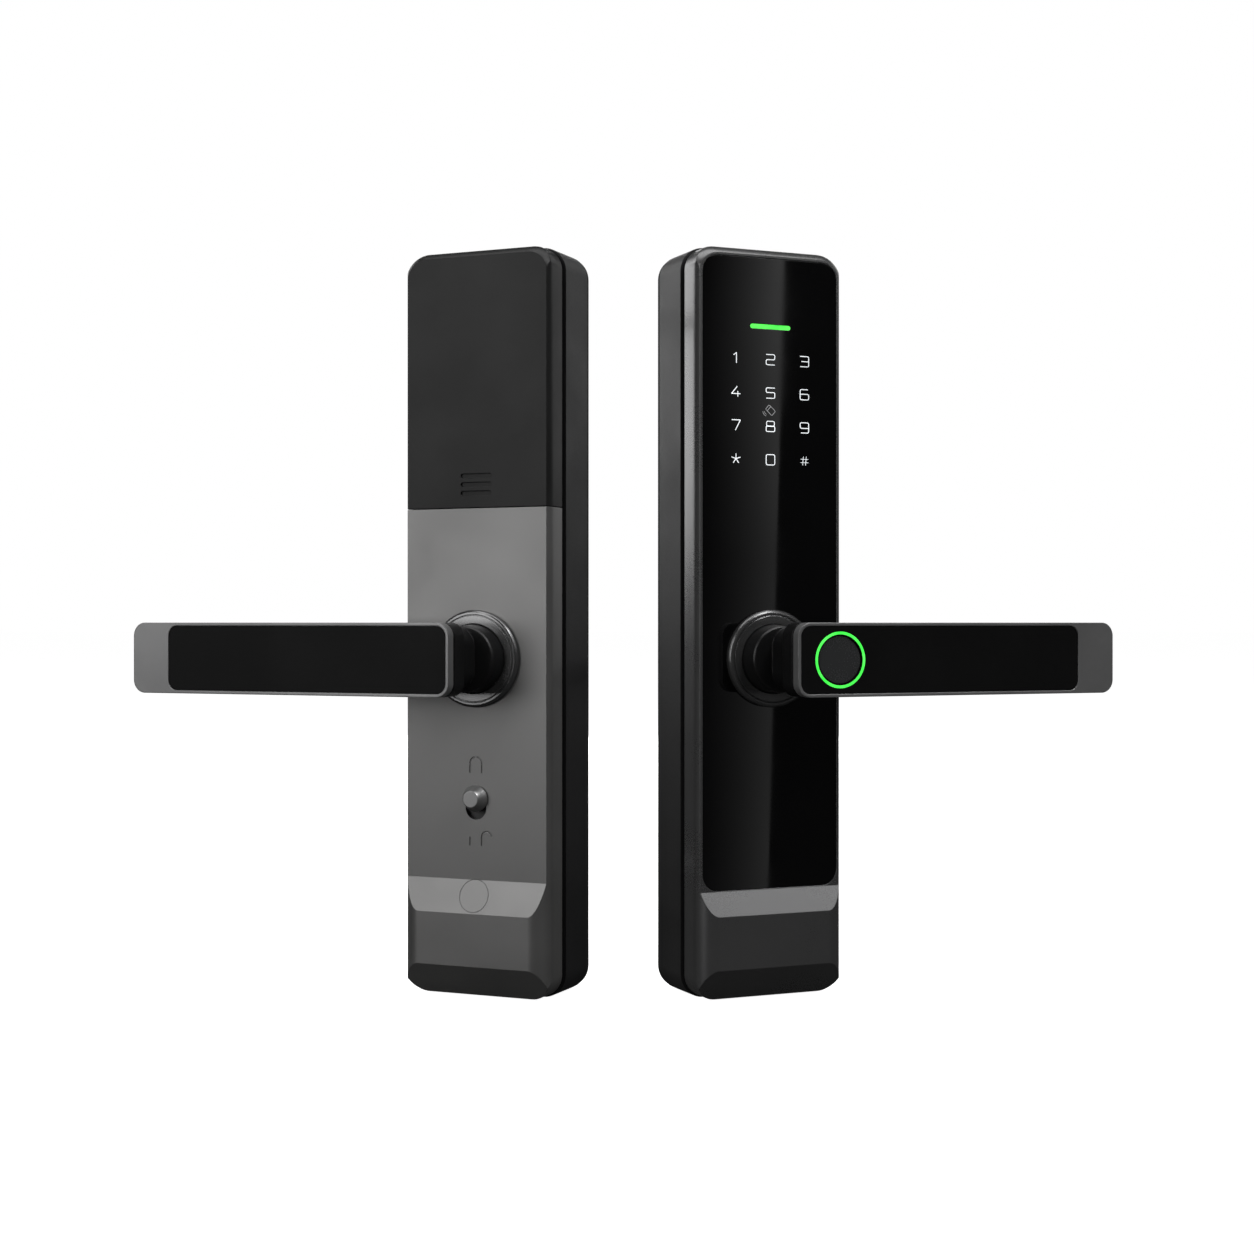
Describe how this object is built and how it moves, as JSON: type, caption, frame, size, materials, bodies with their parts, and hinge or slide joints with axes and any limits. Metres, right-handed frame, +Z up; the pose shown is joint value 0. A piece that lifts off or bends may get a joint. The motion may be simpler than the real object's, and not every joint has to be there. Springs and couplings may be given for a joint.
{
  "type": "keypad smart lock",
  "caption": "Smart door lock pair: outside unit with glass touch keypad and fingerprint lever, inside unit with sliding battery cover, lever and locking slider.",
  "frame": {"origin": "on the floor plane of the pair, in the middle of the bounding box's bottom: both units stand upright with their feet at z = 0", "axes": "+Z up along both units; +X from the inside unit to the outside unit; -Y is the front that both units face, each turned outwards by 23 degrees about Z"},
  "size_m": [0.4014, 0.1254, 0.3],
  "materials": {
    "gasket_rubber": "matt black rubber",
    "dark_grey_paint": "satin dark grey",
    "base_grey": "satin grey",
    "base_black": "fine-grained black",
    "gunmetal": "satin gunmetal",
    "satin_black": "satin black",
    "black_glass": "glossy black",
    "legend_white": "lit white",
    "signal_green": "lit green",
    "white_plastic": "matt white",
    "black_plastic": "matt black",
    "circuit_board": "green solder mask",
    "steel": "bright",
    "dark_steel": "blackened",
    "bronze": "plain",
    "lever_grey": "satin grey",
    "inlay_black": "satin black",
    "sensor_grey": "smooth dark grey",
    "battery_wrap": "printed film over a steel can",
    "contact_metal": "nickel plated",
    "cap_grey": "satin grey"
  },
  "bodies": {
    "housings": {"outside_gasket": "gasket_rubber", "outside_base": "base_grey", "outside_shell": "dark_grey_paint", "outside_case_screws": "steel", "mounting_posts": "steel", "glass_panel": "black_glass", "keypad_light_guide": "white_plastic", "keypad_board": "circuit_board", "keypad_legends": "legend_white", "status_light_bar": "signal_green", "buzzer": "black_plastic", "emergency_power_socket": "steel", "outside_rosette": "lever_grey", "outside_bush": "bronze", "outside_return_spring": "steel", "clutch_bracket": "black_plastic", "clutch_motor": "steel", "inside_gasket": "gasket_rubber", "inside_base": "base_black", "inside_shell": "gunmetal", "inside_case_screws": "steel", "through_bolts": "steel", "battery_tray": "black_plastic", "battery_1": "battery_wrap", "battery_2": "battery_wrap", "battery_3": "battery_wrap", "battery_4": "battery_wrap", "battery_springs": "steel", "battery_contacts": "contact_metal", "inside_main_board": "circuit_board", "inside_rosette": "lever_grey", "inside_bush": "bronze", "inside_return_spring": "steel", "slider_guide": "white_plastic", "slider_switch": "black_plastic"},
    "outside_lever": {"outside_lever": "lever_grey", "outside_lever_inlay": "inlay_black", "outside_set_screw": "dark_steel", "outside_hub": "steel", "outside_circlip": "dark_steel", "outside_stop_cam": "steel", "fingerprint_ring": "signal_green", "fingerprint_sensor": "sensor_grey", "fingerprint_board": "circuit_board"},
    "spindle": {"spindle": "steel"},
    "inside_lever": {"inside_lever": "lever_grey", "inside_lever_inlay": "inlay_black", "inside_set_screw": "dark_steel", "inside_hub": "steel", "inside_circlip": "dark_steel", "inside_stop_cam": "steel"},
    "lock_slider": {"lock_slider": "lever_grey", "slider_plate": "black_plastic"},
    "battery_cover": {"battery_cover": "satin_black"},
    "screw_cap": {"screw_cap": "cap_grey"},
    "clutch_screw": {"clutch_screw": "bronze"},
    "clutch_slider": {"clutch_slider": "white_plastic"}
  },
  "joints": [
    {"name": "outside_lever_turn", "type": "hinge", "parent": "housings", "child": "outside_lever", "pos_m": [0.0442, 0.00593, 0.1356], "axis": [-0.3907, 0.9205, 0], "range_deg": [0, 45], "stiffness_Nm_per_rad": 0.9, "springref_deg": -34.38},
    {"name": "inside_lever_turn", "type": "hinge", "parent": "housings", "child": "inside_lever", "pos_m": [-0.0442, 0.00593, 0.1356], "axis": [-0.3907, -0.9205, 0], "range_deg": [0, 45], "stiffness_Nm_per_rad": 0.9, "springref_deg": -34.38},
    {"name": "spindle_turn", "type": "hinge", "parent": "housings", "child": "spindle", "pos_m": [0.0442, 0.00593, 0.1356], "axis": [-0.3907, 0.9205, 0], "range_deg": [0, 45]},
    {"name": "lock_slider_slide", "type": "slide", "parent": "housings", "child": "lock_slider", "axis": [0, 0, -1], "range_m": [0, 0.004]},
    {"name": "battery_cover_slide", "type": "slide", "parent": "housings", "child": "battery_cover", "axis": [0, 0, 1], "range_m": [0, 0.105]},
    {"name": "screw_cap_pull", "type": "slide", "parent": "housings", "child": "screw_cap", "axis": [-0.3907, -0.9205, 0], "range_m": [0, 0.012]},
    {"name": "clutch_screw_turn", "type": "hinge", "parent": "housings", "child": "clutch_screw", "pos_m": [0.05221, -0.01294, 0.098], "axis": [0, 0, 1], "range_deg": [0, 1080]},
    {"name": "clutch_slide", "type": "slide", "parent": "housings", "child": "clutch_slider", "axis": [0, 0, 1], "range_m": [0, 0.003]}
  ],
  "couplings": [
    {"joint": "spindle_turn", "follows": "outside_lever_turn", "ratio": 1},
    {"joint": "clutch_screw_turn", "follows": "clutch_slide", "rad_per_m": 6283.2}
  ]
}
